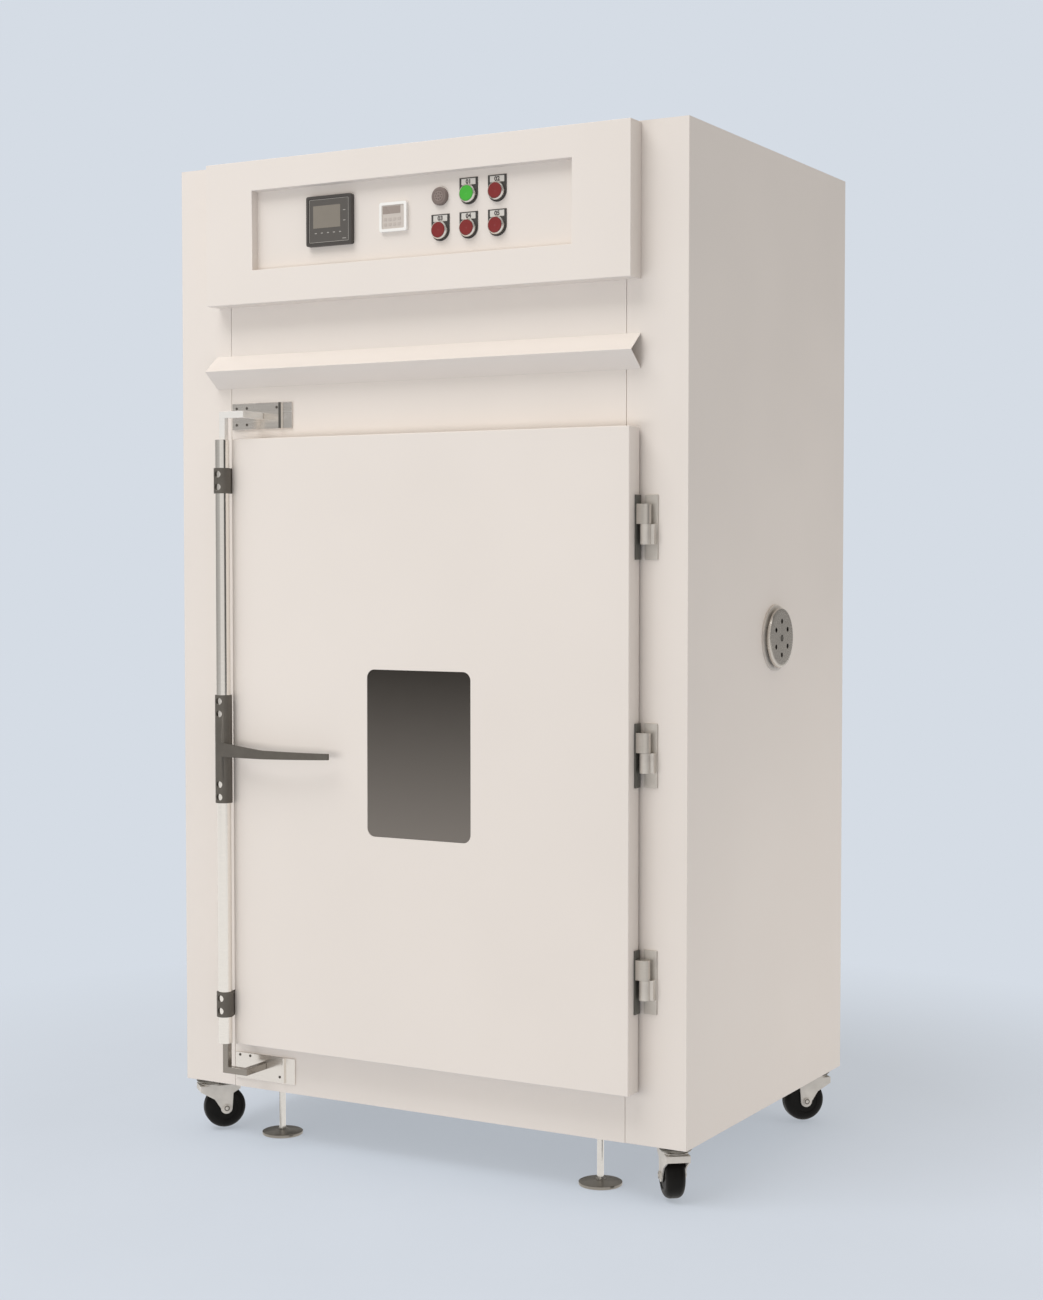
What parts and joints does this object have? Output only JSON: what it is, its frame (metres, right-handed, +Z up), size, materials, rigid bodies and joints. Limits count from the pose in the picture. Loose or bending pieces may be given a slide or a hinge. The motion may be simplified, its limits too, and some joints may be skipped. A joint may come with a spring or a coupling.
{
  "type": "forced_air_drying_oven",
  "caption": "Forced-air drying oven: tall sheet-steel cabinet on castors and levelling feet, windowed door with a lock bar, header panel, fan, heaters and shelves.",
  "frame": {"origin": "middle of the object's bounding box on the floor", "axes": "+X to the right as seen from the front, +Y to the back, +Z up"},
  "size_m": [1.054, 0.8314, 1.85],
  "materials": {
    "coated_sheet": "warm off-white baked powder coat, fine orange-peel, satin",
    "stainless_sheet": "2B stainless sheet, satin",
    "polished_steel": "polished stainless tube and keeper plates",
    "zinc_steel": "bright zinc plate, satin",
    "cast_steel": "dark warm grey satin casting",
    "motor_paint": "blue-grey enamel",
    "galvanised": "fan wheel sheet, satin",
    "heater_steel": "heat-tinted finned tube",
    "wool": "mineral wool slab",
    "window_glass": "toughened dark glass",
    "silicone": "dark silicone seal",
    "charcoal_plastic": "charcoal ABS, fine texture",
    "white_plastic": "bright white instrument case",
    "legend_black": "black printed plate, bare",
    "bezel_metal": "bright bezel rings",
    "green_cap": "translucent green push cap",
    "red_cap": "translucent red push cap",
    "tyre_black": "black nylon and rubber wheel, satin"
  },
  "bodies": {
    "cabinet": {"left_panel": "coated_sheet", "right_panel": "coated_sheet", "top_panel": "coated_sheet", "back_panel": "coated_sheet", "front_fascia": "coated_sheet", "base_frame": "zinc_steel", "motor_deck": "stainless_sheet", "chamber_liner": "stainless_sheet", "insulation": "wool", "air_ducts": "stainless_sheet", "shelf_rails": "stainless_sheet", "shelves": "stainless_sheet", "fan_motor": "motor_paint", "heaters": "heater_steel", "temperature_probe": "stainless_sheet", "port_flange": "stainless_sheet", "exhaust_spigot": "stainless_sheet", "rear_cover": "coated_sheet", "cable_gland": "charcoal_plastic", "header_box": "coated_sheet", "control_panel": "coated_sheet", "drip_strip": "coated_sheet", "controller": "charcoal_plastic", "timer": "white_plastic", "buzzer": "charcoal_plastic", "switch_bodies": "bezel_metal", "legend_plates": "legend_black", "hinge_frame_leaves": "zinc_steel", "keepers": "polished_steel", "castor_tops": "zinc_steel"},
    "door": {"door_skin": "coated_sheet", "door_liner": "stainless_sheet", "door_insulation": "wool", "window_panes": "window_glass", "door_seals": "silicone", "hinge_door_leaves": "zinc_steel", "rod_guides": "cast_steel"},
    "lock": {"lock_bar": "polished_steel", "lock_handle": "cast_steel"},
    "fan": {"fan_wheel": "galvanised"},
    "port_cap": {"vent_cap": "stainless_sheet"},
    "push_1": {"button_1": "green_cap"},
    "push_2": {"button_2": "red_cap"},
    "push_3": {"button_3": "red_cap"},
    "push_4": {"button_4": "red_cap"},
    "push_5": {"button_5": "red_cap"},
    "castor_1": {"castor_fork_1": "zinc_steel"},
    "roller_1": {"castor_wheel_1": "tyre_black"},
    "pedal_1": {"castor_brake_1": "zinc_steel"},
    "castor_2": {"castor_fork_2": "zinc_steel"},
    "roller_2": {"castor_wheel_2": "tyre_black"},
    "pedal_2": {"castor_brake_2": "zinc_steel"},
    "castor_3": {"castor_fork_3": "zinc_steel"},
    "roller_3": {"castor_wheel_3": "tyre_black"},
    "castor_4": {"castor_fork_4": "zinc_steel"},
    "roller_4": {"castor_wheel_4": "tyre_black"},
    "leveller_1": {"foot_1": "cast_steel"},
    "leveller_2": {"foot_2": "cast_steel"},
    "leveller_3": {"foot_3": "cast_steel"},
    "leveller_4": {"foot_4": "cast_steel"}
  },
  "joints": [
    {"name": "door_hinge", "type": "hinge", "parent": "cabinet", "child": "door", "pos_m": [0.442, -0.34225, 0.755], "axis": [0, 0, 1], "range_deg": [0, 120]},
    {"name": "lock_turn", "type": "hinge", "parent": "door", "child": "lock", "pos_m": [-0.392, -0.38725, 0.735], "axis": [0, 0, -1], "range_deg": [0, 95]},
    {"name": "fan_spin", "type": "hinge", "parent": "cabinet", "child": "fan", "pos_m": [0.0215, -0.01425, 1.32], "axis": [0, 0, 1], "continuous": true},
    {"name": "vent_turn", "type": "hinge", "parent": "cabinet", "child": "port_cap", "pos_m": [0.518, 0.03575, 0.94], "axis": [1, 0, 0], "range_deg": [0, 30]},
    {"name": "push_1_press", "type": "slide", "parent": "cabinet", "child": "push_1", "axis": [0, 1, 0], "range_m": [0, 0.003], "stiffness_N_per_m": 400, "springref_m": -0.001},
    {"name": "push_2_press", "type": "slide", "parent": "cabinet", "child": "push_2", "axis": [0, 1, 0], "range_m": [0, 0.003], "stiffness_N_per_m": 400, "springref_m": -0.001},
    {"name": "push_3_press", "type": "slide", "parent": "cabinet", "child": "push_3", "axis": [0, 1, 0], "range_m": [0, 0.003], "stiffness_N_per_m": 400, "springref_m": -0.001},
    {"name": "push_4_press", "type": "slide", "parent": "cabinet", "child": "push_4", "axis": [0, 1, 0], "range_m": [0, 0.003], "stiffness_N_per_m": 400, "springref_m": -0.001},
    {"name": "push_5_press", "type": "slide", "parent": "cabinet", "child": "push_5", "axis": [0, 1, 0], "range_m": [0, 0.003], "stiffness_N_per_m": 400, "springref_m": -0.001},
    {"name": "castor_1_swivel", "type": "hinge", "parent": "cabinet", "child": "castor_1", "pos_m": [-0.493, -0.29925, 0.09], "axis": [0, 0, 1], "continuous": true},
    {"name": "roller_1_spin", "type": "hinge", "parent": "castor_1", "child": "roller_1", "pos_m": [-0.4766, -0.28038, 0.043], "axis": [-0.7547, 0.6561, 0], "continuous": true},
    {"name": "pedal_1_tilt", "type": "hinge", "parent": "castor_1", "child": "pedal_1", "pos_m": [-0.46348, -0.26529, 0.084], "axis": [-0.7547, 0.6561, 0], "range_deg": [0, 20]},
    {"name": "castor_2_swivel", "type": "hinge", "parent": "cabinet", "child": "castor_2", "pos_m": [0.479, -0.29925, 0.09], "axis": [0, 0, 1], "continuous": true},
    {"name": "roller_2_spin", "type": "hinge", "parent": "castor_2", "child": "roller_2", "pos_m": [0.46361, -0.27955, 0.043], "axis": [-0.788, -0.6157, 0], "continuous": true},
    {"name": "pedal_2_tilt", "type": "hinge", "parent": "castor_2", "child": "pedal_2", "pos_m": [0.4513, -0.26379, 0.084], "axis": [-0.788, -0.6157, 0], "range_deg": [0, 20]},
    {"name": "castor_3_swivel", "type": "hinge", "parent": "cabinet", "child": "castor_3", "pos_m": [0.479, 0.32575, 0.09], "axis": [0, 0, 1], "continuous": true},
    {"name": "roller_3_spin", "type": "hinge", "parent": "castor_3", "child": "roller_3", "pos_m": [0.46102, 0.30838, 0.043], "axis": [0.6947, -0.7193, 0], "continuous": true},
    {"name": "castor_4_swivel", "type": "hinge", "parent": "cabinet", "child": "castor_4", "pos_m": [-0.493, 0.32575, 0.09], "axis": [0, 0, 1], "continuous": true},
    {"name": "roller_4_spin", "type": "hinge", "parent": "castor_4", "child": "roller_4", "pos_m": [-0.46951, 0.3172, 0.043], "axis": [0.342, 0.9397, 0], "continuous": true},
    {"name": "leveller_1_screw", "type": "slide", "parent": "cabinet", "child": "leveller_1", "axis": [0, 0, 1], "range_m": [-0.016, 0.022]},
    {"name": "leveller_2_screw", "type": "slide", "parent": "cabinet", "child": "leveller_2", "axis": [0, 0, 1], "range_m": [-0.016, 0.022]},
    {"name": "leveller_3_screw", "type": "slide", "parent": "cabinet", "child": "leveller_3", "axis": [0, 0, 1], "range_m": [-0.016, 0.022]},
    {"name": "leveller_4_screw", "type": "slide", "parent": "cabinet", "child": "leveller_4", "axis": [0, 0, 1], "range_m": [-0.016, 0.022]}
  ]
}
